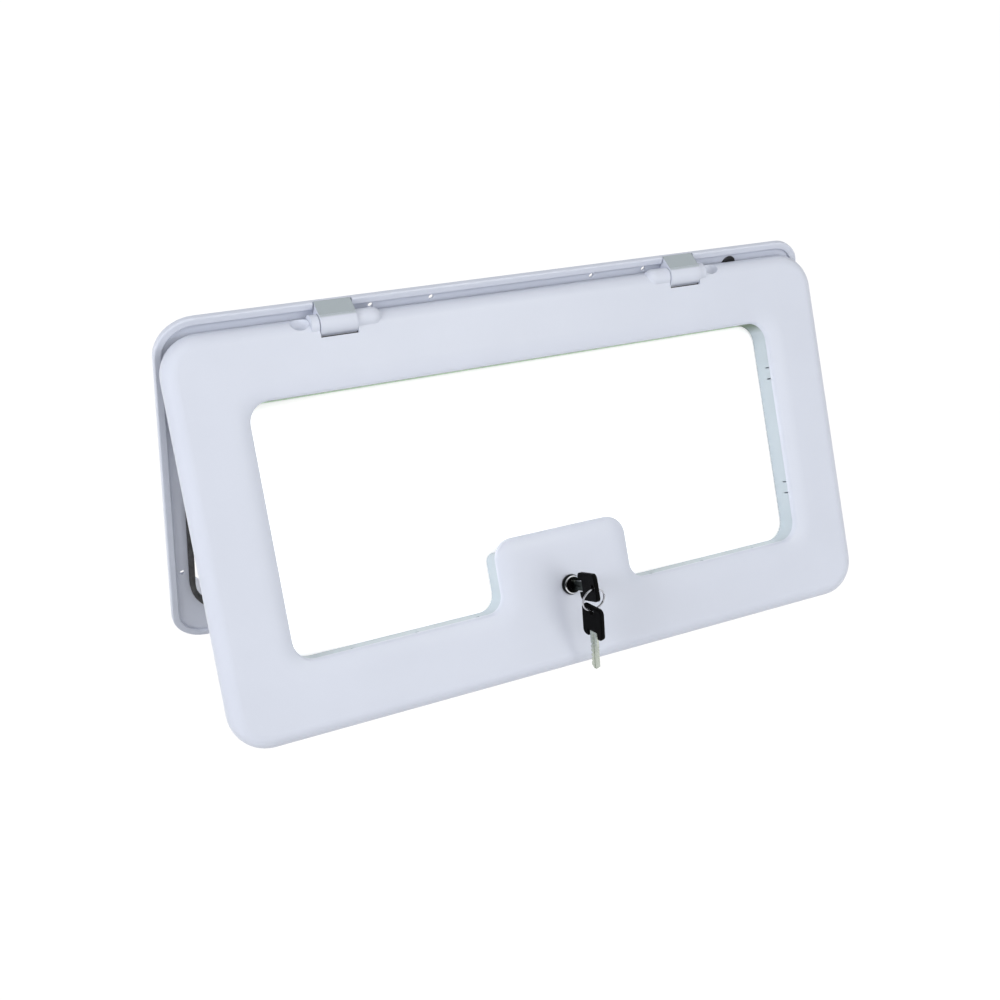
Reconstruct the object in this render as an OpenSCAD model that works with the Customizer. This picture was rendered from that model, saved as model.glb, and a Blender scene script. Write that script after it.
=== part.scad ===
// Top-hinged access hatch for a wall: a moulded door on a screw-on mounting frame.
// The frame stands upright in the XZ plane with its back face at y = 0 and its front towards -Y.
// The origin is the middle of the frame's screw pattern, on the back face.
// Pieces are drawn in a working space with X to the right, Y up and Z out of the front, and
// in_frame() or on_door() then puts them in place.

/* [Mounting frame] */
// Width of the mounting frame over the flange
frame_w = 640; // [560:5:760]
// Height of the mounting frame over the flange
frame_h = 358; // [330:2:420]
// Corner radius of the frame and of the door
corner_r = 34; // [28:1:40]
// Thickness of the flange
flange_t = 2.5; // [2:0.5:3]
// Width of the raised rim along the flange's edge
rim_w = 7; // [5:0.5:8]
// Height of the raised rim over the back face
rim_t = 5; // [4.5:0.5:5]
// Depth of the neck that lines the cut-out in the wall
neck_depth = 26; // [24:1:45]
// Wall of the neck
neck_t = 3; // [2:0.5:4]
// Radius of the screw holes in the flange
screw_hole_r = 2.3; // [1.8:0.1:2.6]

/* [Door] */
// Gap in height between the edge of the frame and the edge of the door
door_margin = 8; // [8:1:10]
// Depth of the door's side walls
door_depth = 15; // [15:1:16]
// Wall thickness of the door
shell_t = 3; // [2.5:0.5:3]
// Radius of the door's front edge
shoulder_r = 12; // [8:1:12]
// Angle at which the door stands open
open_angle = 38.2; // [0:0.1:100]

/* [Window] */
// Width of the window
win_w = 515; // [440:5:520]
// Height of the window
win_h = 215.5; // [200:0.5:230]
// Height of the window's middle over the door's middle
win_cy = 1.25; // [-4:0.25:4]
// Corner radius of the window
win_r = 18; // [12:1:24]
// Half the width of the lock tab
tab_hw = 66; // [60:1:74]
// Height of the lock tab over the window's lower edge
tab_h = 62.3; // [58:0.1:70]

/* [Hinges] */
// Distance of each hinge from the middle
hinge_x = 171; // [140:1:210]
// Width of the knuckle on each hinge arm
knuckle_w = 32; // [26:1:36]
// Radius of the knuckle
knuckle_r = 10.3; // [9.5:0.1:10.5]
// Diameter of the hinge pins
pin_d = 5; // [4:0.5:6]

/* [Lock and keys] */
// Height of the lock over the window's lower edge
lock_rise = 10; // [6:1:16]
// Diameter of the lock's front ring
bezel_d = 18.5; // [17.5:0.5:20]
// Length of the cam from the lock's axis to its tip
cam_len = 42; // [38:1:44]
// Length of a key's grip
grip_l = 31; // [28:1:34]
// Width of a key's grip
grip_w = 25; // [22:1:28]
// Mean radius of the key ring
ring_r = 10.6; // [10:0.1:12]

/* [Hidden] */
$fn = 64;

white = [0.84, 0.86, 0.9];
sheet_white = [0.97, 0.97, 0.97];
rubber = [0.08, 0.08, 0.08];
nickel = [0.72, 0.73, 0.72];
black = [0.05, 0.05, 0.06];

// Frame
opening_w = frame_w - 46;
opening_h = frame_h - 68;
opening_r = corner_r + 6;
hole_rows = [[80, frame_h / 2 - 10.5], [136, frame_h / 2 - 10.5], [frame_w / 2 - 12.5, 92]];
seal_w = 4.6;
seal_top = 9.2;

// Door, in its closed place
door_w = frame_w;
door_h = frame_h - 2 * door_margin;
face_z = rim_t + 1 + door_depth;
hinge_y = door_h / 2 - 6.5;
hinge_z = face_z - 6;
swing_r = knuckle_r + 2.7;
pod_r = 8.6;
pod_in = 31.4;
pod_out = 23.5;

// Window edge: a wide roll, a small round and a short lip
roll_w = 16;
roll_a = 22;
nose_r = 3.5;
roll_r = nose_r + (roll_w - nose_r) / sin(roll_a);
roll_drop = roll_r * (1 - cos(roll_a));
nose_y = -roll_drop - nose_r * cos(roll_a);
lip_end = nose_y - 2;
win_top = win_cy + win_h / 2;
win_bot = win_cy - win_h / 2;
tab_top = win_bot + tab_h;
tab_r = 18;
tab_fillet = 15;
tab_drop = 12;
tab_back_r = 8;

// Layers behind the window, as heights over the door's face
liner_back = -27.5;
liner_flange_t = 3;
panel_t = 3;
panel_lap = 5;
retainer_t = 2.5;
gasket_t = 1;
retainer_back = liner_back - gasket_t - panel_t - retainer_t;
ring_reach = 14.5;
boss_off = 10;
boss_r = 3.6;
screw_r = 1.5;
clip_sides = [57, -57];
clip_floor = [90, 148, 207];

// Lock
lock_y = win_bot + lock_rise;
lock_proud = 6;
barrel_r = 7.9;
barrel_flat = 7;
barrel_back = retainer_back - 1;
plug_r = 6;
cam_t = 2;
cam_front = barrel_back - 2;
keyway_w = 2.6;
keyway_h = 9.2;

// Keys: the local x runs from the tip of the blade to the far end of the grip
blade_l = 39;
blade_w = 8.4;
blade_t = 2.2;
grip_t = 4;
grip_notch = 6;
key_out = 25;
key_hole_x = grip_l - grip_notch - 5;
key_hole_r = 3;
wire_r = 0.9;
ring_sag = key_hole_r - wire_r - 0.55;
ring_lean = 12;
key_b_lean = 18.5;
key_b_side = 4;
key_b_twist = 13;

// Outlines

module rounded_rect(w, h, r) {
    square([w - 2 * r, h], center = true);
    square([w, h - 2 * r], center = true);
    for (sx = [-1, 1], sy = [-1, 1])
        translate([sx * (w / 2 - r), sy * (h / 2 - r)]) circle(r);
}

// The lock tab's outline, drawn in by o on each side. Behind the door's face the tab is lower.
module tab_outline(o, behind) {
    hw = tab_hw - o;
    top = tab_top - o - (behind ? tab_drop : 0);
    r = (behind ? tab_back_r : tab_r) - o;
    base = win_bot - o;
    fillet = tab_fillet + o;
    translate([-hw, base - 5]) square([2 * hw, top - r - base + 5]);
    translate([-hw + r, base]) square([2 * (hw - r), top - base]);
    for (s = [-1, 1]) {
        translate([s * (hw - r), top - r]) circle(r);
        difference() {
            translate([s * (hw + fillet / 2 - 1), base + fillet / 2 - 1]) square(fillet + 2, center = true);
            translate([s * (hw + fillet), base + fillet]) circle(fillet);
        }
    }
}

// The window's outline with its lock tab, grown by o on each side
module window_outline(o, behind = true) {
    difference() {
        translate([0, win_cy]) rounded_rect(win_w + 2 * o, win_h + 2 * o, win_r + o);
        tab_outline(o, behind);
    }
}

// Runs and bends of a profile that follows an outline.
// The profile's x points out of the outline and its y is the height.
module run(x, y, heading, length)
    translate([x, y, 0]) rotate(heading) rotate([90, 0, 90]) linear_extrude(length) children();

module bend(x, y, r, start)
    translate([x, y, 0]) rotate(start) rotate_extrude(angle = 90) translate([r, 0]) children();

module round_the_rect(w, h, r) {
    for (side = [0, 1]) rotate(180 * side) {
        run(-w / 2 + r, h / 2, 0, w - 2 * r) children();
        run(w / 2, h / 2 - r, -90, h - 2 * r) children();
        bend(w / 2 - r, h / 2 - r, r, 0) children();
        bend(w / 2 - r, r - h / 2, r, -90) children();
    }
}

module round_the_window() {
    run(-win_w / 2 + win_r, win_top, 0, win_w - 2 * win_r) children();
    for (s = [0, 1]) {
        run(s == 0 ? win_w / 2 : -win_w / 2, s == 0 ? win_top - win_r : win_bot + win_r,
            s == 0 ? -90 : 90, win_h - 2 * win_r) children();
        run(s == 0 ? win_w / 2 - win_r : -tab_hw - tab_fillet, win_bot,
            180, win_w / 2 - win_r - tab_hw - tab_fillet) children();
        run(s == 0 ? tab_hw : -tab_hw, s == 0 ? win_bot + tab_fillet : tab_top - tab_r,
            s == 0 ? 90 : -90, tab_h - tab_fillet - tab_r) children();
        bend(s == 0 ? win_w / 2 - win_r : win_r - win_w / 2, win_top - win_r, win_r, 90 * s) children();
        bend(s == 0 ? win_w / 2 - win_r : win_r - win_w / 2, win_bot + win_r, win_r, 270 - 90 * s) children();
        bend(s == 0 ? tab_hw + tab_fillet : -tab_hw - tab_fillet, win_bot + tab_fillet,
            tab_fillet, 180 + 90 * s) children();
        bend(s == 0 ? tab_hw - tab_r : tab_r - tab_hw, tab_top - tab_r, tab_r, 90 * s)
            mirror([1, 0]) children();
    }
    run(tab_hw - tab_r, tab_top, 180, 2 * (tab_hw - tab_r)) children();
}

// A profile drawn over height (x) and depth (y), run along X from x0 to x1
module along_x(x0, x1)
    translate([x0, 0, 0]) rotate([90, 0, 90]) linear_extrude(x1 - x0) children();

// Places

module in_frame() rotate([90, 0, 0]) children();

module on_door()
    translate([0, -hinge_z, hinge_y]) rotate([-open_angle, 0, 0]) translate([0, hinge_z, -hinge_y])
        in_frame() translate([0, 0, face_z]) children();

// A point of the door's own space, as it lies with the door open
function door_point(p) = let (y = hinge_z - face_z - p[2], z = p[1] - hinge_y)
    [p[0], -hinge_z + y * cos(open_angle) + z * sin(open_angle),
     hinge_y - y * sin(open_angle) + z * cos(open_angle)];

// Mounting frame and what stays on it

module rim_profile() {
    edge_r = 1.5;
    translate([-rim_w, 0]) square([rim_w, rim_t - edge_r]);
    translate([-rim_w + edge_r, rim_t - edge_r]) square([rim_w - 2 * edge_r, edge_r]);
    for (x = [-edge_r, edge_r - rim_w]) translate([x, rim_t - edge_r]) circle(edge_r);
}

module mounting_frame() color(white) in_frame() difference() {
    union() {
        linear_extrude(flange_t) difference() {
            rounded_rect(frame_w - 2 * rim_w, frame_h - 2 * rim_w, corner_r - rim_w);
            rounded_rect(opening_w, opening_h, opening_r);
        }
        round_the_rect(frame_w, frame_h, corner_r) rim_profile();
        translate([0, 0, -neck_depth]) linear_extrude(neck_depth) difference() {
            rounded_rect(opening_w + 2 * neck_t, opening_h + 2 * neck_t, opening_r + neck_t);
            rounded_rect(opening_w, opening_h, opening_r);
        }
    }
    for (p = hole_rows, sx = [-1, 1], sy = [-1, 1])
        translate([sx * p[0], sy * p[1], -1]) cylinder(h = flange_t + 2, r = screw_hole_r);
    for (s = [-1, 1]) {
        translate([s * hinge_x - knuckle_w / 2 - 1, frame_h / 2 - rim_w - 1, flange_t])
            cube([knuckle_w + 2, rim_w + 2, rim_t]);
        for (x = [-9, 9]) translate([s * hinge_x + x, hinge_y, 0]) arm_screw_space();
    }
    for (x = [-11, 11]) translate([x, -opening_h / 2 - neck_t - 1, -20])
        rotate([-90, 0, 0]) cylinder(h = neck_t + 2, r = 1.3);
}

module arm_screw_space() {
    translate([0, 0, -0.01]) cylinder(h = 1.71, r1 = 3.2, r2 = 1.6);
    cylinder(h = 12, r = 1.6);
}

module seal_profile() {
    square([seal_w, 2.4]);
    translate([1, 2]) square([seal_w - 2, 4]);
    translate([seal_w / 2, seal_top - flange_t - 2.6]) difference() {
        circle(2.6);
        circle(1.5);
    }
}

module frame_seal() color(rubber) in_frame() translate([0, 0, flange_t])
    round_the_rect(opening_w, opening_h, opening_r) seal_profile();

module bump_buffer() color(rubber) in_frame()
    translate([234, frame_h / 2 - 16.5, flange_t]) cylinder(h = 1.1, r = 7.5);

module hinge_arm() difference() {
    along_x(-knuckle_w / 2, knuckle_w / 2) {
        translate([hinge_y, hinge_z]) circle(knuckle_r);
        polygon([[frame_h / 2, flange_t], [frame_h / 2 - 4.2, hinge_z + 2.6],
            [hinge_y, hinge_z], [hinge_y - 9.5, hinge_z - 4], [hinge_y - 12, flange_t]]);
    }
    translate([-knuckle_w, hinge_y, hinge_z]) rotate([0, 90, 0])
        cylinder(h = 2 * knuckle_w, r = pin_d / 2 + 0.06);
    for (x = [-9, 9]) translate([x, hinge_y, flange_t - 0.5]) cylinder(h = 8, r = 1.5);
}

module hinge_arm_left() color(white) in_frame() translate([-hinge_x, 0, 0]) hinge_arm();
module hinge_arm_right() color(white) in_frame() translate([hinge_x, 0, 0]) hinge_arm();

module hinge_arm_screws() color(nickel) in_frame()
    for (s = [-1, 1], x = [-9, 9]) translate([s * hinge_x + x, hinge_y, 0]) {
        cylinder(h = 1.6, r1 = 3.1, r2 = 1.45);
        cylinder(h = 9, r = 1.45);
    }

// The catch that the lock's cam swings behind
module keeper() color(nickel) in_frame() translate([0, -opening_h / 2, 0]) difference() {
    union() {
        translate([-20, 0, -25]) cube([40, 2, 12.5]);
        translate([-16, 0, -15]) cube([32, 19, 2.5]);
        translate([-20, 0, -15]) cube([40, 15, 2.5]);
        for (x = [-16, 16]) translate([x, 15, -15]) cylinder(h = 2.5, r = 4);
    }
    for (x = [-11, 11]) translate([x, -1, -20]) rotate([-90, 0, 0]) cylinder(h = 4, r = 1.4);
}

module keeper_screws() color(nickel) in_frame() for (x = [-11, 11])
    translate([x, -opening_h / 2, -20]) rotate([-90, 0, 0]) {
        translate([0, 0, 2]) cylinder(h = 1.8, r1 = 2.8, r2 = 2.2);
        translate([0, 0, -neck_t + 0.1]) cylinder(h = neck_t + 2, r = 1.25);
    }

// Door

module edge_profile() {
    intersection() {
        translate([-shoulder_r, -shoulder_r]) difference() {
            circle(shoulder_r);
            circle(shoulder_r - shell_t);
        }
        translate([-shoulder_r, -shoulder_r]) square(shoulder_r + 1);
    }
    translate([-shell_t, -door_depth]) square([shell_t, door_depth - shoulder_r]);
}

// A slice of a ring between radii r and r - shell_t, from angle a0 to a1
module ring_slice(r, a0, a1) {
    far = 1.3 * r;
    intersection() {
        difference() {
            circle(r);
            circle(r - shell_t);
        }
        polygon([[0, 0], far * [cos(a0), sin(a0)], far * [cos((a0 + a1) / 2), sin((a0 + a1) / 2)],
            far * [cos(a1), sin(a1)]]);
    }
}

module roll_profile() {
    translate([roll_w, -roll_r]) ring_slice(roll_r, 90, 90 + roll_a);
    translate([nose_r, nose_y]) ring_slice(nose_r, 90 + roll_a, 180);
    translate([0, lip_end]) square([shell_t, nose_y - lip_end]);
    translate([roll_w, -shell_t]) square([1.2, shell_t]);
}

module web_profile()
    polygon([[-20, -2.5], [-20, -10], [-2.5, -10], [-6, -4.5], [-10, -2.5]]);

ring_screws = concat(
    [for (x = [-220:110:220]) [x, win_top + boss_off]],
    [for (x = [-220, -110, 110, 220]) [x, win_bot - boss_off]],
    [for (sx = [-1, 1], sy = [-1, 1]) [sx * (win_w / 2 + boss_off), win_cy + sy * 78]],
    [for (sx = [-1, 1]) [sx * 40, tab_top - 24]]);

module door_webs() {
    for (x = [-250, -110, -55, 0, 55, 110, 250]) run(x, door_h / 2, 0, 1.6) web_profile();
    for (x = [-250:50:250]) run(x, -door_h / 2, 180, 1.6) web_profile();
    for (y = [-100:50:100]) {
        run(door_w / 2, y, -90, 1.6) web_profile();
        run(-door_w / 2, y, 90, 1.6) web_profile();
    }
}

// Solid outline of the door's top edge, which trims the outer end of each hinge boss
module top_edge_outline() {
    translate([door_h / 2 - shoulder_r, -shoulder_r]) circle(shoulder_r);
    translate([door_h / 2 - shoulder_r - 15, -door_depth]) square([15, door_depth]);
    translate([door_h / 2 - shoulder_r - 1, -door_depth])
        square([shoulder_r + 1, door_depth - shoulder_r]);
}

// One hinge on the door, drawn at its own middle with the outer end towards +X
module hinge_boss() {
    axis = [hinge_y, hinge_z - face_z];
    along_x(-pod_in, -knuckle_w / 2 - 0.5) translate(axis) circle(pod_r);
    translate([-pod_in, axis[0], axis[1]]) rotate([0, -90, 0]) sphere(pod_r);
    along_x(knuckle_w / 2 + 0.5, pod_out) translate(axis) circle(pod_r);
    along_x(pod_out, pod_out + 18) intersection() {
        translate(axis) circle(pod_r);
        top_edge_outline();
    }
}

module hinge_cut() {
    axis = [hinge_y, hinge_z - face_z];
    along_x(-knuckle_w / 2 - 0.5, knuckle_w / 2 + 0.5) {
        translate(axis) circle(swing_r);
        translate([hinge_y, -20]) square([12, 25]);
    }
    translate([-pod_in, axis[0], axis[1]]) rotate([0, 90, 0])
        cylinder(h = pod_in + pod_out + 0.3, r = pin_d / 2 + 0.02);
    translate([pod_out + 8.5, door_h / 2 - 1.2, -0.2]) rotate([0, -90, 0]) sphere(9);
}

module door_shell() color(white) on_door() difference() {
    union() {
        translate([0, 0, -shell_t]) linear_extrude(shell_t) difference() {
            rounded_rect(door_w - 2 * shoulder_r, door_h - 2 * shoulder_r, corner_r - shoulder_r);
            window_outline(roll_w, false);
            translate([0, lock_y]) barrel_outline(0.15);
        }
        round_the_rect(door_w, door_h, corner_r) edge_profile();
        round_the_window() roll_profile();
        translate([0, 0, -11.5]) linear_extrude(11.5 - shell_t + 0.5) difference() {
            rounded_rect(opening_w + 6.6, opening_h + 6.6, opening_r + 3.3);
            rounded_rect(opening_w + 2.6, opening_h + 2.6, opening_r + 1.3);
        }
        door_webs();
        for (p = ring_screws) translate([p[0], p[1], liner_back + liner_flange_t]) screw_boss();
        for (s = [0, 1]) mirror([s, 0, 0]) translate([hinge_x, 0, 0]) hinge_boss();
    }
    for (s = [0, 1]) mirror([s, 0, 0]) translate([hinge_x, 0, 0]) hinge_cut();
}

module screw_boss() difference() {
    cylinder(h = -liner_back - liner_flange_t - shell_t + 0.5, r = boss_r);
    translate([0, 0, -1]) cylinder(h = 14, r = screw_r);
}

// The outline of the lock's barrel, with its two flats
module barrel_outline(gap) intersection() {
    circle(barrel_r + gap);
    square([2 * (barrel_flat + gap), 40], center = true);
}

module ring_outline()
    translate([0, win_cy])
        rounded_rect(win_w + 2 * ring_reach, win_h + 2 * ring_reach, win_r + ring_reach);

module ring_screw_holes(z, h) {
    for (p = ring_screws) translate([p[0], p[1], z]) cylinder(h = h, r = screw_r + 0.2);
    translate([0, lock_y, z]) cylinder(h = h, r = 12.5);
}

module liner_frame() color(white) on_door() difference() {
    union() {
        translate([0, 0, liner_back]) linear_extrude(liner_flange_t) difference() {
            ring_outline();
            window_outline(0.2);
        }
        translate([0, 0, liner_back + liner_flange_t])
            linear_extrude(lip_end - 0.4 - liner_back - liner_flange_t) difference() {
                window_outline(2.7);
                window_outline(0.2);
            }
    }
    ring_screw_holes(liner_back - 1, liner_flange_t + 2);
    for (sx = [-1, 1], y = clip_sides, e = [-5.5, 5.5])
        translate([sx * (win_w / 2 + 1.5), win_cy + y + e, lip_end - 3.2])
            cube([6, 1.2, 6], center = true);
    for (sx = [-1, 1], x = clip_floor, y = [win_top + 1.5, win_bot - 1.5])
        translate([sx * x, y, lip_end - 2.4]) cube([3, 6, 4.2], center = true);
}

module panel_gasket() color(rubber) on_door()
    translate([0, 0, liner_back - gasket_t]) linear_extrude(gasket_t) difference() {
        window_outline(4.4);
        window_outline(0.8);
    }

module infill_panel() color(sheet_white) on_door()
    translate([0, 0, liner_back - gasket_t - panel_t]) linear_extrude(panel_t)
        window_outline(panel_lap);

module retaining_frame() color(white) on_door() difference() {
    union() {
        translate([0, 0, retainer_back + retainer_t])
            linear_extrude(liner_back - retainer_back - retainer_t) difference() {
                ring_outline();
                window_outline(panel_lap + 0.3);
            }
        translate([0, 0, retainer_back]) linear_extrude(retainer_t) difference() {
            ring_outline();
            window_outline(-4);
        }
    }
    ring_screw_holes(retainer_back - 1, liner_back - retainer_back + 2);
}

module retaining_screws() color(nickel) on_door() for (p = ring_screws)
    translate([p[0], p[1], retainer_back]) {
        translate([0, 0, -2]) difference() {
            cylinder(h = 2, r1 = 2.3, r2 = 3);
            translate([0, 0, 0.4]) cube([3, 0.8, 1.2], center = true);
            translate([0, 0, 0.4]) cube([0.8, 3, 1.2], center = true);
        }
        cylinder(h = 22, r = screw_r - 0.05);
    }

module hinge_pin()
    translate([-pod_in + 0.5, hinge_y, hinge_z]) rotate([0, 90, 0]) {
        long = pod_in + pod_out - 1;
        cylinder(h = 0.5, r1 = pin_d / 2 - 0.5, r2 = pin_d / 2);
        translate([0, 0, 0.5]) cylinder(h = long - 1, r = pin_d / 2);
        translate([0, 0, long - 0.5]) cylinder(h = 0.5, r1 = pin_d / 2, r2 = pin_d / 2 - 0.5);
    }

module hinge_pin_left() color(nickel) in_frame() mirror([1, 0, 0]) translate([hinge_x, 0, 0]) hinge_pin();
module hinge_pin_right() color(nickel) in_frame() translate([hinge_x, 0, 0]) hinge_pin();

// Lock, drawn about its own axis with the front towards +Z

module at_lock() on_door() translate([0, lock_y, 0]) children();

module lock_washer() color(rubber) at_lock() difference() {
    cylinder(h = 0.8, r = bezel_d / 2 - 0.4);
    translate([0, 0, -1]) cylinder(h = 3, r = barrel_r + 0.1);
}

module lock_housing() color(nickel) at_lock() difference() {
    union() {
        rotate_extrude() polygon([[0, 0.8], [bezel_d / 2, 0.8], [bezel_d / 2, 2.4],
            [bezel_d / 2 - 1.1, lock_proud - 0.8], [bezel_d / 2 - 1.9, lock_proud],
            [plug_r + 1, lock_proud], [plug_r, lock_proud - 0.8], [0, lock_proud - 0.8]]);
        translate([0, 0, barrel_back]) linear_extrude(0.9 - barrel_back) barrel_outline(0);
    }
    translate([0, 0, barrel_back - 1]) cylinder(h = lock_proud - barrel_back + 2, r = plug_r + 0.06);
}

module lock_nut() color(nickel) at_lock() translate([0, 0, -shell_t - 5.3]) difference() {
    cylinder(h = 5, r = 12, $fn = 6);
    translate([0, 0, -1]) cylinder(h = 7, r = barrel_r + 0.05);
}

module lock_plug() color(black) at_lock() difference() {
    union() {
        translate([0, 0, cam_front + 0.05]) cylinder(h = lock_proud - 0.6 - cam_front, r = plug_r);
        translate([-3.5, -3.5, cam_front - cam_t - 0.3]) cube([7, 7, cam_t + 1]);
    }
    translate([-keyway_w / 2, -keyway_h / 2, -18]) cube([keyway_w, keyway_h, 30]);
    translate([0, 0, cam_front - 5]) cylinder(h = 12, r = 1.55);
}

module lock_cam() color(nickel) at_lock() translate([0, 0, cam_front - cam_t])
    linear_extrude(cam_t) difference() {
        union() {
            circle(9);
            translate([0, -7]) square([cam_len - 7, 14]);
            translate([cam_len - 7, 0]) circle(7);
        }
        square(7.1, center = true);
    }

module cam_screw() color(nickel) at_lock() translate([0, 0, cam_front - cam_t - 0.3]) {
    translate([0, 0, -1]) cylinder(h = 1, r = 5.5);
    translate([0, 0, -3.2]) cylinder(h = 2.2, r = 3.6, $fn = 6);
    cylinder(h = 8, r = 1.5);
}

// Keys, in their own space: x from the tip to the far end of the grip, z through the thickness

module key_blade() difference() {
    translate([0, 0, -blade_t / 2]) linear_extrude(blade_t) difference() {
        union() {
            polygon([[-blade_l, -1], [-blade_l + 3, -blade_w / 2], [-0.1, -blade_w / 2],
                [-0.1, blade_w / 2], [-blade_l + 3, blade_w / 2], [-blade_l, 1]]);
            translate([-1, -2.9]) square([9, 5.8]);
        }
        for (i = [0:4]) translate([-blade_l + 7 + 4.4 * i, blade_w / 2 + 0.6 - 0.35 * (i % 3)])
            rotate(45) square(2.6, center = true);
    }
    translate([-blade_l - 1, -0.9, blade_t / 2 - 0.5]) cube([blade_l - 2, 1.4, 1]);
}

module grip_outline(o) difference() {
    translate([grip_l / 2 - grip_notch, 0])
        rounded_rect(grip_l - 2 * o, grip_w - 2 * o, 4.5 - o);
    translate([-grip_notch - 3, -5.5 - o]) square([grip_notch + o + 3, 11 + 2 * o]);
    translate([key_hole_x, 0]) circle(key_hole_r);
}

module key_grip() difference() {
    union() {
        translate([0, 0, -grip_t / 2 + 0.5]) linear_extrude(grip_t - 1) grip_outline(0);
        translate([0, 0, -grip_t / 2]) linear_extrude(grip_t) grip_outline(1);
    }
    translate([-1, -3, -blade_t / 2 - 0.05]) cube([9.2, 6, blade_t + 0.1]);
}

module key_a_place() at_lock() translate([0, 0, key_out]) rotate([0, -90, 0]) children();
module key_a_blade() color(nickel) key_a_place() key_blade();
module key_a_grip() color(black) key_a_place() key_grip();

key_a_hole = door_point([0, lock_y, key_out + key_hole_x]);
ring_down = [0, -sin(ring_lean), -cos(ring_lean)];
ring_top = key_a_hole + ring_sag * ring_down;
ring_bottom = ring_top + 2 * ring_r * ring_down;
key_b_down = [sin(key_b_side), -cos(key_b_side) * sin(key_b_lean), -cos(key_b_side) * cos(key_b_lean)];
key_b_hole = ring_bottom + ring_sag * key_b_down;

module key_ring() color(nickel) translate(ring_top + ring_r * ring_down)
    rotate([90 - ring_lean, 0, 0]) rotate_extrude() translate([ring_r, 0]) circle(wire_r, $fn = 24);

module key_b_place() translate(key_b_hole) rotate([-key_b_lean, 0, 0]) rotate([0, -key_b_side, 0])
    rotate([0, 0, key_b_twist]) translate([0, 0, -key_hole_x]) rotate([0, -90, 0]) children();
module key_b_blade() color(nickel) key_b_place() key_blade();
module key_b_grip() color(black) key_b_place() key_grip();

mounting_frame();
frame_seal();
bump_buffer();
hinge_arm_left();
hinge_arm_right();
hinge_arm_screws();
keeper();
keeper_screws();
door_shell();
liner_frame();
panel_gasket();
infill_panel();
retaining_frame();
retaining_screws();
hinge_pin_left();
hinge_pin_right();
lock_housing();
lock_washer();
lock_nut();
lock_plug();
lock_cam();
cam_screw();
key_a_blade();
key_a_grip();
key_ring();
key_b_blade();
key_b_grip();
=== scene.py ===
"""Looks of a top-hinged wall hatch with a cam lock and two keys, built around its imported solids."""

import math

import bpy
from bpy.props import FloatProperty, FloatVectorProperty, PointerProperty
from bpy.types import Operator, Panel, PropertyGroup
from mathutils import Euler, Matrix, Vector


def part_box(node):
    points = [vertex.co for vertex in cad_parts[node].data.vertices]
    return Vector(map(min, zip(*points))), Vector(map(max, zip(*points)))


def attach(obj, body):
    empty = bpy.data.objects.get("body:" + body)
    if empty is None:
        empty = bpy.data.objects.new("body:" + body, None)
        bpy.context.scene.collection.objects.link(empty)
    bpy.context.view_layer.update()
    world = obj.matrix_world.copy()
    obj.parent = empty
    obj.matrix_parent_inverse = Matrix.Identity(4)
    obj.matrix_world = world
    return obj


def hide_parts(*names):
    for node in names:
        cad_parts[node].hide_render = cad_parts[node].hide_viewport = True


bl_info = {
    "name": "Wall hatch",
    "version": (1, 0, 0),
    "blender": (4, 5, 0),
    "location": "View3D > Sidebar > Hatch",
    "description": "Finishes, key ring and studio of a top-hinged wall hatch",
    "category": "Add Mesh",
}

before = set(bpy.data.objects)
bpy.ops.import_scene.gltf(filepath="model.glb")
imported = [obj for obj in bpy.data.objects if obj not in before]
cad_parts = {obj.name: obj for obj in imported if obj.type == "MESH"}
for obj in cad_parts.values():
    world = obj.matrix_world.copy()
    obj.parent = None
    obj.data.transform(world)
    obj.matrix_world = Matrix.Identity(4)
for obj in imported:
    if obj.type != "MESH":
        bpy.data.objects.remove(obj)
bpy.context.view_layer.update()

MM = 0.001
WHITE = (1.0, 1.0, 1.0, 1.0)
# The door's own directions as it stands open, and the lock's middle on its face
DOOR_OUT = Vector((0.0, -0.785857, 0.618408))
DOOR_UP = Vector((0.0, 0.618408, 0.785857))
LOCK_MIDDLE = Vector((0.0, -181.12, -36.90)) * MM
# Steps of the split ring's coil, and the gap between its turns
RING_STEPS = 150
RING_GAP = 0.03 * MM
# The floor's own colour, how much of it the camera sees as plain white, and how bright that white is
FLOOR_COLOUR = (0.6, 0.6, 0.6)
FLOOR_SHARE = 0.92
FLOOR_GLOW = 1.08
# Where the mirrored room is brightest, what the lamps shine at, and the colour of the mirrored lamp
BRIGHT_SIDE = (0.45, -0.45, 0.77)
LAMP_TARGET = Vector((0.0, -0.1, 0.0))
HIGH_LAMP_COLOUR = (1.0, 1.0, 0.84)
# The camera fitted to the photograph
CAMERA_PLACE = Vector((-0.48082, -0.83571, 0.70224))
CAMERA_RIGHT = Vector((0.8966, -0.4264, 0.1194))
CAMERA_AHEAD = Vector((0.3989, 0.6607, -0.6358))
MOULDED_NODES = ("mounting_frame", "door_shell", "retaining_frame")
ARM_NODES = ("hinge_arm_left", "hinge_arm_right")
RUBBER_NODES = ("frame_seal", "bump_buffer", "panel_gasket", "lock_washer")
STEEL_NODES = ("hinge_arm_screws", "keeper", "keeper_screws", "retaining_screws",
               "hinge_pin_left", "hinge_pin_right", "lock_nut", "lock_cam", "cam_screw")


def colour_prop(name, description, default):
    """A colour that the sidebar shows as a swatch."""
    return FloatVectorProperty(name=name, description=description, default=default,
                               subtype="COLOR", size=3, min=0.0, max=1.0)


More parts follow.
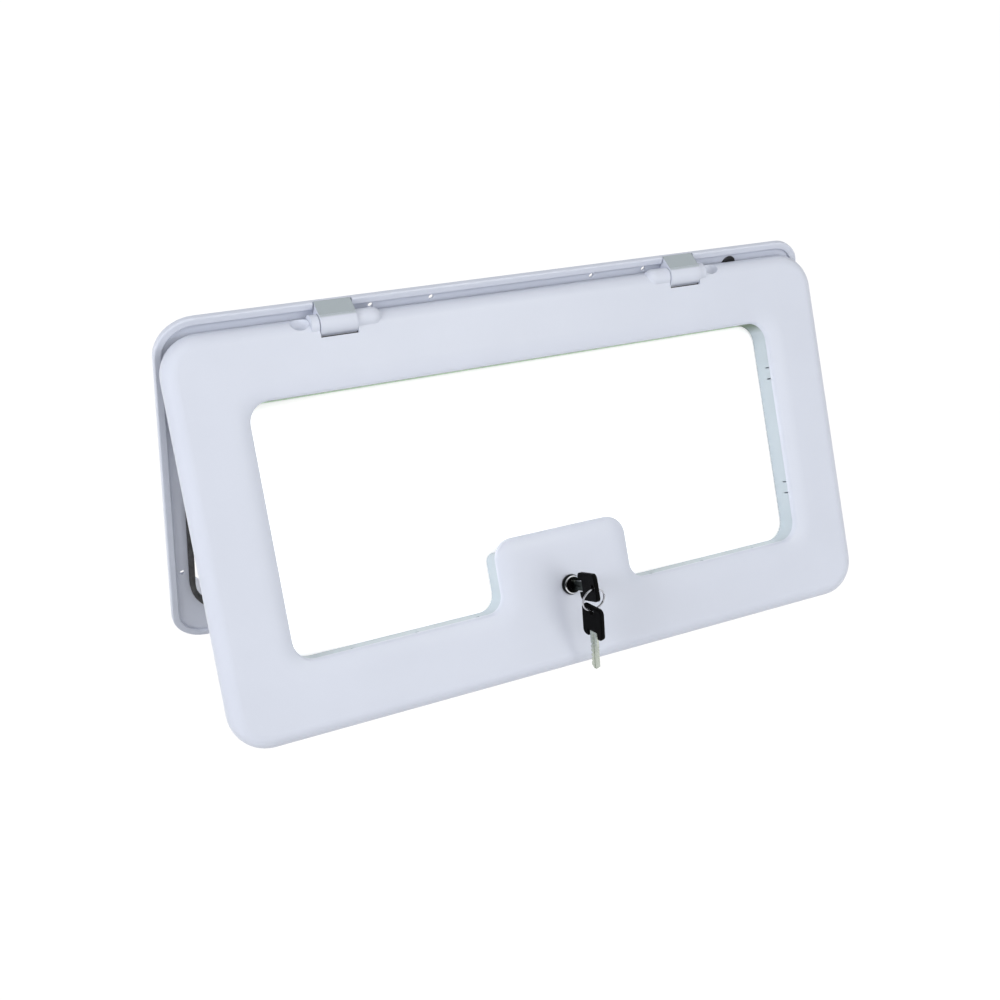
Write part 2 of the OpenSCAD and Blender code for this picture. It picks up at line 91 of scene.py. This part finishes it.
class HatchFinishes(PropertyGroup):
    """Colours and textures of the hatch's materials."""

    moulded_white: colour_prop("Moulded white", "Cool white of the door and the frame", (0.585, 0.617, 0.71))
    liner_white: colour_prop("Liner white", "Colour of the liner round the window", (0.435, 0.498, 0.55))
    # Painted shade: the darker grey laid over the hinge arms' upward-facing sides
    arm_top_painted_shade: colour_prop("Arm grey", "Colour of the hinge arms' upper sides", (0.335, 0.38, 0.405))
    sheet_white: colour_prop("Sheet white", "White of the infill panel", (0.98, 0.98, 0.98))
    rubber_black: colour_prop("Rubber black", "Black of seal, buffer and washers", (0.018, 0.018, 0.02))
    steel_grey: colour_prop("Plated steel", "Colour of screws, pins and catch", (0.60, 0.60, 0.58))
    lock_chrome: colour_prop("Lock chrome", "Colour of the lock's front ring", (0.74, 0.75, 0.77))
    ring_steel: colour_prop("Ring steel", "Colour of the key ring", (0.50, 0.51, 0.55))
    blade_nickel: colour_prop("Key blade", "Colour of the key blades", (0.52, 0.56, 0.50))
    grip_black: colour_prop("Key grip", "Black of the key grips and the lock", (0.0018, 0.0018, 0.002))
    skin_grain: FloatProperty(name="Skin grain", description="Size of the moulded skin's grain",
                              default=0.9 * MM, unit="LENGTH")
    brush_pitch: FloatProperty(name="Brush pitch", description="Distance between brush marks on steel",
                               default=0.35 * MM, unit="LENGTH")


class HatchRing(PropertyGroup):
    """The split ring that joins the two keys."""

    radius: FloatProperty(name="Radius", description="Mean radius of the coil", default=10.6 * MM, unit="LENGTH")
    wire_wide: FloatProperty(name="Wire width", description="Width of the flattened wire, across the coil",
                             default=1.6 * MM, unit="LENGTH")
    wire_thick: FloatProperty(name="Wire thickness", description="Thickness of the wire along the ring's axis",
                              default=0.86 * MM, unit="LENGTH")
    overlap: FloatProperty(name="Overlap", description="How far the wire runs past one full turn",
                           default=math.radians(318.0), unit="ROTATION")
    lean: FloatProperty(name="Lean", description="How far the ring leans out of the upright",
                        default=math.radians(12.0), unit="ROTATION")
    split_at: FloatProperty(name="Split", description="Where on the ring its outer end lies",
                            default=math.radians(60.0), unit="ROTATION")


class HatchStage(PropertyGroup):
    """Camera, lamps and floor."""

    lens: FloatProperty(name="Lens", description="Focal length on a 36 mm wide sensor", default=43.64)
    lens_rise: FloatProperty(name="Lens rise", description="Vertical shift of the lens", default=0.0102)
    floor_z: FloatProperty(name="Floor height", description="Height of the floor", default=-0.1795, unit="LENGTH")
    front_power: FloatProperty(name="Front lamp", description="Power of the large front lamp", default=18.5)
    high_power: FloatProperty(name="High lamp", description="Power of the high right lamp", default=5.0)
    top_power: FloatProperty(name="Top lamp", description="Power of the lamp over the hatch", default=8.0)
    side_power: FloatProperty(name="Side lamp", description="Power of the left lamp", default=34.0)
    back_power: FloatProperty(name="Back lamp", description="Power of the lamp behind the hatch", default=22.0)
    sky: FloatProperty(name="Room light", description="Strength of the even light", default=0.43)


# Materials


def clear_nodes(material):
    """Leaves only a Principled shader and the output in the material."""
    material.use_nodes = True
    tree = material.node_tree
    tree.nodes.clear()
    output = tree.nodes.new("ShaderNodeOutputMaterial")
    shader = tree.nodes.new("ShaderNodeBsdfPrincipled")
    tree.links.new(shader.outputs["BSDF"], output.inputs["Surface"])
    return tree, shader


class Finish:
    """One material with its object coordinates at hand."""

    def __init__(self, name, colour, roughness, metallic=0.0):
        self.material = bpy.data.materials.new(name)
        self.tree, self.shader = clear_nodes(self.material)
        self.colour = tuple(colour)
        self.shader.inputs["Base Color"].default_value = (*self.colour, 1.0)
        self.shader.inputs["Roughness"].default_value = roughness
        self.shader.inputs["Metallic"].default_value = metallic
        self.place = self.tree.nodes.new("ShaderNodeTexCoord").outputs["Object"]

    def node(self, kind, **inputs):
        """A new node, with values for its named sockets; an underscore stands for a space."""
        made = self.tree.nodes.new(kind)
        for key, value in inputs.items():
            made.inputs[key.replace("_", " ")].default_value = value
        return made

    def noise(self, size, detail=2.0, stretch=(1.0, 1.0, 1.0)):
        """Noise whose features are about size metres across, stretched along the axes."""
        mapping = self.node("ShaderNodeMapping", Scale=stretch)
        self.tree.links.new(self.place, mapping.inputs["Vector"])
        made = self.node("ShaderNodeTexNoise", Scale=1.0 / size, Detail=detail)
        self.tree.links.new(mapping.outputs["Vector"], made.inputs["Vector"])
        return made.outputs["Fac"]

    def ramp(self, source, low, high, low_value=0.0, high_value=1.0):
        """Maps source from low..high to low_value..high_value."""
        made = self.node("ShaderNodeMapRange", From_Min=low, From_Max=high, To_Min=low_value, To_Max=high_value)
        self.tree.links.new(source, made.inputs["Value"])
        return made.outputs["Result"]

    def tint(self, source, dark, light):
        """Base colour that runs from dark to light, as shares of the finish's own colour."""
        made = self.tree.nodes.new("ShaderNodeMix")
        made.data_type = "RGBA"
        made.inputs["A"].default_value = (*(c * dark for c in self.colour), 1.0)
        made.inputs["B"].default_value = (*(min(c * light, 1.0) for c in self.colour), 1.0)
        self.tree.links.new(source, made.inputs["Factor"])
        self.tree.links.new(made.outputs["Result"], self.shader.inputs["Base Color"])

    def math(self, operation, first, second):
        """Joins two sockets, or a socket and a number, by the operation named."""
        made = self.tree.nodes.new("ShaderNodeMath")
        made.operation = operation
        for slot, value in zip(made.inputs, (first, second)):
            if isinstance(value, float):
                slot.default_value = value
            else:
                self.tree.links.new(value, slot)
        return made.outputs["Value"]

    def along(self, direction, origin=(0.0, 0.0, 0.0)):
        """How far a point lies from origin along direction, in metres."""
        made = self.tree.nodes.new("ShaderNodeVectorMath")
        made.operation = "DOT_PRODUCT"
        made.inputs[1].default_value = direction
        self.tree.links.new(self.place, made.inputs[0])
        return self.math("SUBTRACT", made.outputs["Value"], float(Vector(origin).dot(direction)))

    def off_axis(self, direction, origin):
        """A point's distance from the line through origin along direction, in metres."""
        across = Vector(direction).orthogonal().normalized()
        other = Vector(direction).cross(across)
        squares = []
        for way in (across, other):
            away = self.along(way, origin)
            squares.append(self.math("MULTIPLY", away, away))
        return self.math("POWER", self.math("ADD", *squares), 0.5)

    def facing(self, direction, low, high):
        """0 to 1 as the surface turns from low to high towards direction, as a share of facing it."""
        made = self.tree.nodes.new("ShaderNodeVectorMath")
        made.operation = "DOT_PRODUCT"
        made.inputs[1].default_value = direction
        self.tree.links.new(self.place.node.outputs["Normal"], made.inputs[0])
        return self.ramp(made.outputs["Value"], low, high)

    def lay_over(self, share, colour, roughness):
        """Lays a second colour and roughness over the finish where share is 1."""
        for name, value in (("Base Color", (*colour, 1.0)), ("Roughness", roughness)):
            socket = self.shader.inputs[name]
            made = self.tree.nodes.new("ShaderNodeMix")
            made.data_type = "RGBA" if name == "Base Color" else "FLOAT"
            slots = [slot for slot in made.inputs if slot.enabled]
            self.tree.links.new(share, slots[0])
            self.tree.links.new(socket.links[0].from_socket, slots[1])
            slots[2].default_value = value
            self.tree.links.new(next(slot for slot in made.outputs if slot.enabled), socket)

    def roughness(self, source, low, high):
        """Roughness that follows source from low to high."""
        self.tree.links.new(self.ramp(source, 0.3, 0.7, low, high), self.shader.inputs["Roughness"])

    def bump(self, layers, edge=0.0):
        """Stacks bumps of (source, height in metres); edge rounds the shading of sharp edges."""
        normal = None
        if edge:
            rounded = self.node("ShaderNodeBevel", Radius=edge)
            rounded.samples = 6
            normal = rounded.outputs["Normal"]
        for source, height in layers:
            made = self.node("ShaderNodeBump", Strength=1.0, Distance=height)
            self.tree.links.new(source, made.inputs["Height"])
            if normal:
                self.tree.links.new(normal, made.inputs["Normal"])
            normal = made.outputs["Normal"]
        self.tree.links.new(normal, self.shader.inputs["Normal"])


def moulded_white(finishes):
    finish = Finish("moulded_white", finishes.moulded_white, 0.36)
    cloud = finish.noise(0.09, 3.0)
    finish.tint(finish.ramp(cloud, 0.35, 0.65), 0.985, 1.01)
    finish.roughness(finish.noise(0.02, 3.0), 0.30, 0.40)
    grain = finish.noise(finishes.skin_grain, 2.0)
    finish.bump([(grain, 0.012 * MM), (finish.noise(0.03, 1.0), 0.12 * MM)], edge=0.6 * MM)
    finish.shader.inputs["Specular IOR Level"].default_value = 0.45
    return finish.material


def liner_white(finishes):
    """The liner's walls, with painted shade on the underside of the wall over the window."""
    finish = Finish("liner_white", finishes.liner_white, 0.4)
    finish.tint(finish.ramp(finish.noise(0.05, 3.0), 0.35, 0.65), 0.97, 1.02)
    finish.roughness(finish.noise(0.02, 3.0), 0.34, 0.46)
    # Painted shade: dark green-grey on the downward-facing wall over the window
    painted_under_shade = finish.math("MULTIPLY", finish.facing(-DOOR_UP, 0.45, 0.9),
                        finish.ramp(finish.along(DOOR_UP), 40.0 * MM, 50.0 * MM))
    finish.lay_over(painted_under_shade, (0.085, 0.135, 0.08), 0.5)
    finish.bump([(finish.noise(finishes.skin_grain, 2.0), 0.012 * MM)], edge=0.4 * MM)
    return finish.material


def arm_white(finishes):
    """The hinge arms: white, with painted shade laid over their upper sides, which are also rougher."""
    finish = Finish("arm_white", finishes.moulded_white, 0.36)
    finish.tint(finish.ramp(finish.noise(0.03, 3.0), 0.35, 0.65), 0.985, 1.01)
    finish.roughness(finish.noise(0.01, 3.0), 0.30, 0.40)
    # Painted shade: where the surface faces up it takes the darker grey, with a rougher finish
    finish.lay_over(finish.facing((0.0, 0.0, 1.0), 0.86, 0.97), finishes.arm_top_painted_shade, 0.5)
    finish.bump([(finish.noise(0.0011, 3.0), 0.03 * MM)], edge=0.6 * MM)
    return finish.material


def sheet_white(finishes):
    """A white sheet that glows a little in its own colour, painted light that lifts its shading to white, with a
    painted shade line along its upper edge.
    """
    finish = Finish("sheet_white", finishes.sheet_white, 0.5)
    finish.tint(finish.ramp(finish.noise(0.12, 2.0), 0.3, 0.7), 0.995, 1.0)
    finish.roughness(finish.noise(0.03, 2.0), 0.45, 0.55)
    finish.bump([(finish.noise(0.0012, 2.0), 0.008 * MM)])
    # Painted shade: a thin green-grey line along the sheet's upper edge
    edge = finish.ramp(finish.along(DOOR_UP), 63.3 * MM, 64.0 * MM)
    finish.lay_over(edge, (0.45, 0.58, 0.45), 0.6)
    finish.shader.inputs["Specular IOR Level"].default_value = 0.3
    # Painted light: the sheet glows in its own colour, so it shows no shade
    seen = finish.shader.inputs["Base Color"].links[0].from_socket
    finish.tree.links.new(seen, finish.shader.inputs["Emission Color"])
    finish.shader.inputs["Emission Strength"].default_value = 0.36
    return finish.material


def rubber_black(finishes):
    finish = Finish("rubber_black", finishes.rubber_black, 0.62)
    finish.tint(finish.ramp(finish.noise(0.012, 4.0), 0.35, 0.7), 0.8, 1.9)
    finish.roughness(finish.noise(0.004, 3.0), 0.5, 0.75)
    finish.bump([(finish.noise(0.0006, 2.0), 0.03 * MM)], edge=0.3 * MM)
    return finish.material


def plated_steel(finishes):
    finish = Finish("plated_steel", finishes.steel_grey, 0.32, metallic=1.0)
    finish.tint(finish.ramp(finish.noise(0.006, 3.0), 0.3, 0.7), 0.86, 1.08)
    finish.roughness(finish.noise(0.003, 3.0), 0.24, 0.42)
    finish.bump([(finish.noise(finishes.brush_pitch, 1.0, (0.08, 1.0, 1.0)), 0.01 * MM)], edge=0.3 * MM)
    return finish.material


def lock_chrome(finishes):
    """Chrome on the front ring's chamfer, and black on its flank and inside."""
    finish = Finish("lock_chrome", finishes.lock_chrome, 0.12, metallic=1.0)
    finish.tint(finish.ramp(finish.noise(0.004, 2.0), 0.3, 0.7), 0.94, 1.03)
    finish.roughness(finish.noise(0.003, 3.0), 0.08, 0.2)
    flank = finish.ramp(finish.along(DOOR_OUT, LOCK_MIDDLE), 4.9 * MM, 5.2 * MM, 1.0, 0.0)
    inside = finish.ramp(finish.off_axis(DOOR_OUT, LOCK_MIDDLE), 7.3 * MM, 7.45 * MM, 1.0, 0.0)
    finish.lay_over(finish.math("MAXIMUM", flank, inside), (0.012, 0.014, 0.013), 0.3)
    finish.bump([(finish.noise(0.0008, 2.0), 0.004 * MM)], edge=0.3 * MM)
    return finish.material


def ring_steel(finishes):
    finish = Finish("ring_steel", finishes.ring_steel, 0.2, metallic=1.0)
    finish.tint(finish.ramp(finish.noise(0.004, 2.0), 0.3, 0.7), 0.85, 1.05)
    finish.roughness(finish.noise(0.003, 3.0), 0.14, 0.28)
    finish.bump([(finish.noise(0.0008, 2.0), 0.004 * MM)])
    return finish.material


def blade_finish(finishes, name):
    """Nickel plate with fine brush marks."""
    finish = Finish(name, finishes.blade_nickel, 0.28, metallic=1.0)
    finish.tint(finish.ramp(finish.noise(0.005, 3.0), 0.3, 0.7), 0.85, 1.08)
    finish.roughness(finish.noise(0.0015, 3.0), 0.2, 0.38)
    finish.bump([(finish.noise(finishes.brush_pitch, 1.0, (1.0, 1.0, 0.06)), 0.01 * MM)], edge=0.2 * MM)
    return finish


def blade_nickel(finishes):
    return blade_finish(finishes, "blade_nickel").material


def blade_in_lock(finishes):
    """The blade in the lock, with painted shade where it shows between the plug and the grip."""
    finish = blade_finish(finishes, "blade_in_lock")
    # Painted shade: the blade goes dark between the plug and the grip
    shown = finish.ramp(finish.along(DOOR_OUT, LOCK_MIDDLE), 4.4 * MM, 5.4 * MM)
    finish.lay_over(shown, (0.06, 0.07, 0.062), 0.4)
    return finish.material


def grip_black(finishes):
    finish = Finish("grip_black", finishes.grip_black, 0.42)
    finish.tint(finish.ramp(finish.noise(0.006, 3.0), 0.3, 0.7), 0.8, 1.6)
    finish.roughness(finish.noise(0.002, 3.0), 0.34, 0.52)
    finish.bump([(finish.noise(0.0005, 2.0), 0.02 * MM)], edge=0.5 * MM)
    finish.shader.inputs["Specular IOR Level"].default_value = 0.03
    return finish.material


FINISHES = {make.__name__: make for make in (
    moulded_white, liner_white, arm_white, sheet_white, rubber_black, plated_steel, lock_chrome, ring_steel,
    blade_nickel, blade_in_lock, grip_black)}


def finish_named(context, name):
    """The material of that name, made the first time it is asked for."""
    made = bpy.data.materials.get(name)
    return made or FINISHES[name](context.scene.hatch_finishes)


def dress(context, nodes, name):
    """Gives CAD nodes a finish without touching their meshes."""
    material = finish_named(context, name)
    for node in nodes:
        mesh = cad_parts[node].data
        mesh.materials.clear()
        mesh.materials.append(material)


def node_centre(node):
    """The middle of a CAD node's box."""
    low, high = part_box(node)
    return (low + high) / 2


# Operators


class HATCH_OT_mouldings(Operator):
    """Finish the door, the mounting frame, the hinge arms and the frames behind the window"""

    bl_idname = "hatch.mouldings"
    bl_label = "White mouldings"

    def execute(self, context):
        dress(context, MOULDED_NODES, "moulded_white")
        dress(context, ARM_NODES, "arm_white")
        dress(context, ("liner_frame",), "liner_white")
        return {"FINISHED"}


class HATCH_OT_panel_sheet(Operator):
    """Finish the white sheet that fills the window"""

    bl_idname = "hatch.panel_sheet"
    bl_label = "Infill panel"

    def execute(self, context):
        dress(context, ("infill_panel",), "sheet_white")
        return {"FINISHED"}


class HATCH_OT_rubbers(Operator):
    """Finish the seal, the buffer, the gasket and the lock's washer"""

    bl_idname = "hatch.rubbers"
    bl_label = "Rubber parts"

    def execute(self, context):
        dress(context, RUBBER_NODES, "rubber_black")
        return {"FINISHED"}


class HATCH_OT_fasteners(Operator):
    """Finish the screws, the pins, the catch and the cam"""

    bl_idname = "hatch.fasteners"
    bl_label = "Plated steel parts"

    def execute(self, context):
        dress(context, STEEL_NODES, "plated_steel")
        return {"FINISHED"}


class HATCH_OT_lock(Operator):
    """Finish the lock's chrome housing and its black plug"""

    bl_idname = "hatch.lock"
    bl_label = "Lock"

    def execute(self, context):
        dress(context, ("lock_housing",), "lock_chrome")
        dress(context, ("lock_plug",), "grip_black")
        return {"FINISHED"}


class HATCH_OT_split_ring(Operator):
    """Wind the split ring out of flattened wire, in the place of the plain ring"""

    bl_idname = "hatch.split_ring"
    bl_label = "Split ring"

    def execute(self, context):
        ring = context.scene.hatch_ring
        pitch = ring.wire_thick + RING_GAP
        turn = 2 * math.pi + ring.overlap
        rise = pitch * turn / (2 * math.pi)
        bpy.ops.object.select_all(action="DESELECT")
        bpy.ops.mesh.primitive_circle_add(vertices=20, radius=0.5, rotation=(math.pi / 2, 0.0, 0.0))
        coil = context.active_object
        coil.name = "split_ring"
        coil.scale = (ring.wire_wide, ring.wire_thick, 1.0)
        bpy.ops.object.transform_apply(location=False, rotation=True, scale=True)
        coil.location = (ring.radius, 0.0, -rise / 2)
        bpy.ops.object.transform_apply(location=True, rotation=False, scale=False)
        screw = coil.modifiers.new("wind", "SCREW")
        screw.angle = turn
        screw.screw_offset = rise
        screw.steps = RING_STEPS
        screw.render_steps = RING_STEPS
        screw.use_smooth_shade = True
        bpy.ops.object.modifier_apply(modifier=screw.name)
        bpy.ops.object.mode_set(mode="EDIT")
        bpy.ops.mesh.select_mode(type="EDGE")
        bpy.ops.mesh.select_all(action="DESELECT")
        bpy.ops.mesh.select_non_manifold()
        bpy.ops.mesh.fill_holes(sides=0)
        bpy.ops.mesh.select_all(action="SELECT")
        bpy.ops.mesh.normals_make_consistent(inside=False)
        bpy.ops.object.mode_set(mode="OBJECT")
        coil.rotation_euler = Euler((0.0, 0.0, ring.split_at))
        bpy.ops.object.transform_apply(location=False, rotation=True, scale=False)
        coil.rotation_euler = Euler((math.pi / 2 - ring.lean, 0.0, 0.0))
        coil.location = node_centre("key_ring")
        bpy.ops.object.transform_apply(location=True, rotation=True, scale=False)
        bpy.ops.object.shade_smooth_by_angle(angle=math.radians(40.0))
        coil.data.materials.append(finish_named(context, "ring_steel"))
        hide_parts("key_ring")
        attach(coil, "ring")
        return {"FINISHED"}


class HATCH_OT_keys(Operator):
    """Finish the two keys"""

    bl_idname = "hatch.keys"
    bl_label = "Keys"

    def execute(self, context):
        dress(context, ("key_a_blade",), "blade_in_lock")
        dress(context, ("key_b_blade",), "blade_nickel")
        dress(context, ("key_a_grip", "key_b_grip"), "grip_black")
        return {"FINISHED"}


def any_of(tree, first, *others):
    """1 where at least one of the sockets is 1."""
    for other in others:
        made = tree.nodes.new("ShaderNodeMath")
        made.operation = "MAXIMUM"
        tree.links.new(first, made.inputs[0])
        tree.links.new(other, made.inputs[1])
        first = made.outputs["Value"]
    return first


def camera_only_white(name, colour, share, glow_strength):
    """A matt surface that the camera and reflections see as white, with the object's shadow kept."""
    material = bpy.data.materials.new(name)
    tree, shader = clear_nodes(material)
    shader.inputs["Base Color"].default_value = (*colour, 1.0)
    shader.inputs["Roughness"].default_value = 0.9
    rays = tree.nodes.new("ShaderNodeLightPath")
    seen = any_of(tree, *(rays.outputs[f"Is {kind} Ray"] for kind in ("Camera", "Glossy", "Transmission")))
    part = tree.nodes.new("ShaderNodeMath")
    part.operation = "MULTIPLY"
    part.inputs[1].default_value = share
    tree.links.new(seen, part.inputs[0])
    glow = tree.nodes.new("ShaderNodeEmission")
    glow.inputs["Strength"].default_value = glow_strength
    mix = tree.nodes.new("ShaderNodeMixShader")
    tree.links.new(part.outputs[0], mix.inputs["Fac"])
    tree.links.new(shader.outputs["BSDF"], mix.inputs[1])
    tree.links.new(glow.outputs["Emission"], mix.inputs[2])
    output = next(n for n in tree.nodes if n.type == "OUTPUT_MATERIAL")
    tree.links.new(mix.outputs["Shader"], output.inputs["Surface"])
    return material


def room_light(strength):
    """Even light for the object, plain white for the camera, and a bright and a dark side to mirror."""
    world = bpy.data.worlds.new("room")
    world.use_nodes = True
    tree = world.node_tree
    light = tree.nodes["Background"]
    light.inputs["Color"].default_value = WHITE
    light.inputs["Strength"].default_value = strength
    towards = tree.nodes.new("ShaderNodeVectorMath")
    towards.operation = "DOT_PRODUCT"
    towards.inputs[1].default_value = BRIGHT_SIDE
    tree.links.new(tree.nodes.new("ShaderNodeTexCoord").outputs["Generated"], towards.inputs[0])
    side = tree.nodes.new("ShaderNodeMapRange")
    side.interpolation_type = "SMOOTHSTEP"
    for name, value in (("From Min", 0.05), ("From Max", 0.75), ("To Min", 0.03), ("To Max", 1.5)):
        side.inputs[name].default_value = value
    tree.links.new(towards.outputs["Value"], side.inputs["Value"])
    mirrored = tree.nodes.new("ShaderNodeBackground")
    tree.links.new(side.outputs["Result"], mirrored.inputs["Strength"])
    seen = tree.nodes.new("ShaderNodeBackground")
    seen.inputs["Color"].default_value = WHITE
    rays = tree.nodes.new("ShaderNodeLightPath")
    shown = light.outputs["Background"]
    for kind, other in (("Is Glossy Ray", mirrored), ("Is Camera Ray", seen)):
        mix = tree.nodes.new("ShaderNodeMixShader")
        tree.links.new(rays.outputs[kind], mix.inputs["Fac"])
        tree.links.new(shown, mix.inputs[1])
        tree.links.new(other.outputs["Background"], mix.inputs[2])
        shown = mix.outputs["Shader"]
    tree.links.new(shown, tree.nodes["World Output"].inputs["Surface"])
    return world


def lamp(name, place, size, power, colour=(1.0, 1.0, 1.0), mirrored=False):
    """A round lamp that shines from place at the hatch; mirrored tells if glossy surfaces show it."""
    data = bpy.data.lights.new(name, "AREA")
    data.shape = "DISK"
    data.size = size
    data.energy = power
    data.color = colour
    made = bpy.data.objects.new(name, data)
    made.visible_glossy = mirrored
    made.location = place
    made.rotation_euler = (LAMP_TARGET - Vector(place)).to_track_quat("-Z", "Y").to_euler()
    bpy.context.collection.objects.link(made)


def photo_camera(stage):
    """The camera that was fitted to the photograph."""
    data = bpy.data.cameras.new("camera")
    data.lens = stage.lens
    data.shift_y = stage.lens_rise
    camera = bpy.data.objects.new("camera", data)
    ahead = CAMERA_AHEAD.normalized()
    up = CAMERA_RIGHT.cross(ahead).normalized()
    turn = Matrix((ahead.cross(up), up, -ahead)).transposed()
    camera.matrix_world = Matrix.Translation(CAMERA_PLACE) @ turn.to_4x4()
    return camera


class HATCH_OT_stage(Operator):
    """Set up the floor, the room light, the lamps and the camera"""

    bl_idname = "hatch.stage"
    bl_label = "Stage"

    def execute(self, context):
        stage = context.scene.hatch_stage
        bpy.ops.object.select_all(action="DESELECT")
        bpy.ops.mesh.primitive_plane_add(size=30.0, location=(0.0, 0.0, stage.floor_z))
        floor = context.active_object
        floor.name = "floor"
        floor.data.materials.append(camera_only_white("floor_white", FLOOR_COLOUR, FLOOR_SHARE, FLOOR_GLOW))

        context.scene.world = room_light(stage.sky)
        lamp("front_lamp", (0.8, -2.35, 0.95), 1.8, stage.front_power)
        lamp("high_lamp", (0.9, -1.41, 1.8), 0.7, stage.high_power, HIGH_LAMP_COLOUR, mirrored=True)
        lamp("top_lamp", (-0.1, -1.3, 1.7), 1.4, stage.top_power)
        lamp("side_lamp", (-2.3, -0.5, 0.95), 1.2, stage.side_power)
        lamp("back_lamp", (0.7, 2.3, 1.0), 1.6, stage.back_power)

        camera = photo_camera(stage)
        context.collection.objects.link(camera)
        context.scene.camera = camera
        context.scene.view_settings.view_transform = "Standard"
        return {"FINISHED"}


class HATCH_PT_sidebar(Panel):
    """Lists the steps that dress the hatch"""

    bl_label = "Wall hatch"
    bl_idname = "HATCH_PT_sidebar"
    bl_space_type = "VIEW_3D"
    bl_region_type = "UI"
    bl_category = "Hatch"

    def draw(self, context):
        for operator in OPERATORS:
            self.layout.operator(operator.bl_idname)
        for group in (context.scene.hatch_finishes, context.scene.hatch_ring, context.scene.hatch_stage):
            for name in group.__annotations__:
                self.layout.prop(group, name)


OPERATORS = (HATCH_OT_mouldings, HATCH_OT_panel_sheet, HATCH_OT_rubbers, HATCH_OT_fasteners,
             HATCH_OT_lock, HATCH_OT_split_ring, HATCH_OT_keys, HATCH_OT_stage)
CLASSES = (HatchFinishes, HatchRing, HatchStage, *OPERATORS, HATCH_PT_sidebar)


def register():
    for cls in CLASSES:
        bpy.utils.register_class(cls)
    bpy.types.Scene.hatch_finishes = PointerProperty(type=HatchFinishes)
    bpy.types.Scene.hatch_ring = PointerProperty(type=HatchRing)
    bpy.types.Scene.hatch_stage = PointerProperty(type=HatchStage)


def unregister():
    del bpy.types.Scene.hatch_finishes
    del bpy.types.Scene.hatch_ring
    del bpy.types.Scene.hatch_stage
    for cls in reversed(CLASSES):
        bpy.utils.unregister_class(cls)


def main():
    register()
    bpy.ops.hatch.mouldings()
    bpy.ops.hatch.panel_sheet()
    bpy.ops.hatch.rubbers()
    bpy.ops.hatch.fasteners()
    bpy.ops.hatch.lock()
    bpy.ops.hatch.split_ring()
    bpy.ops.hatch.keys()
    bpy.ops.hatch.stage()


if __name__ == "__main__":
    main()
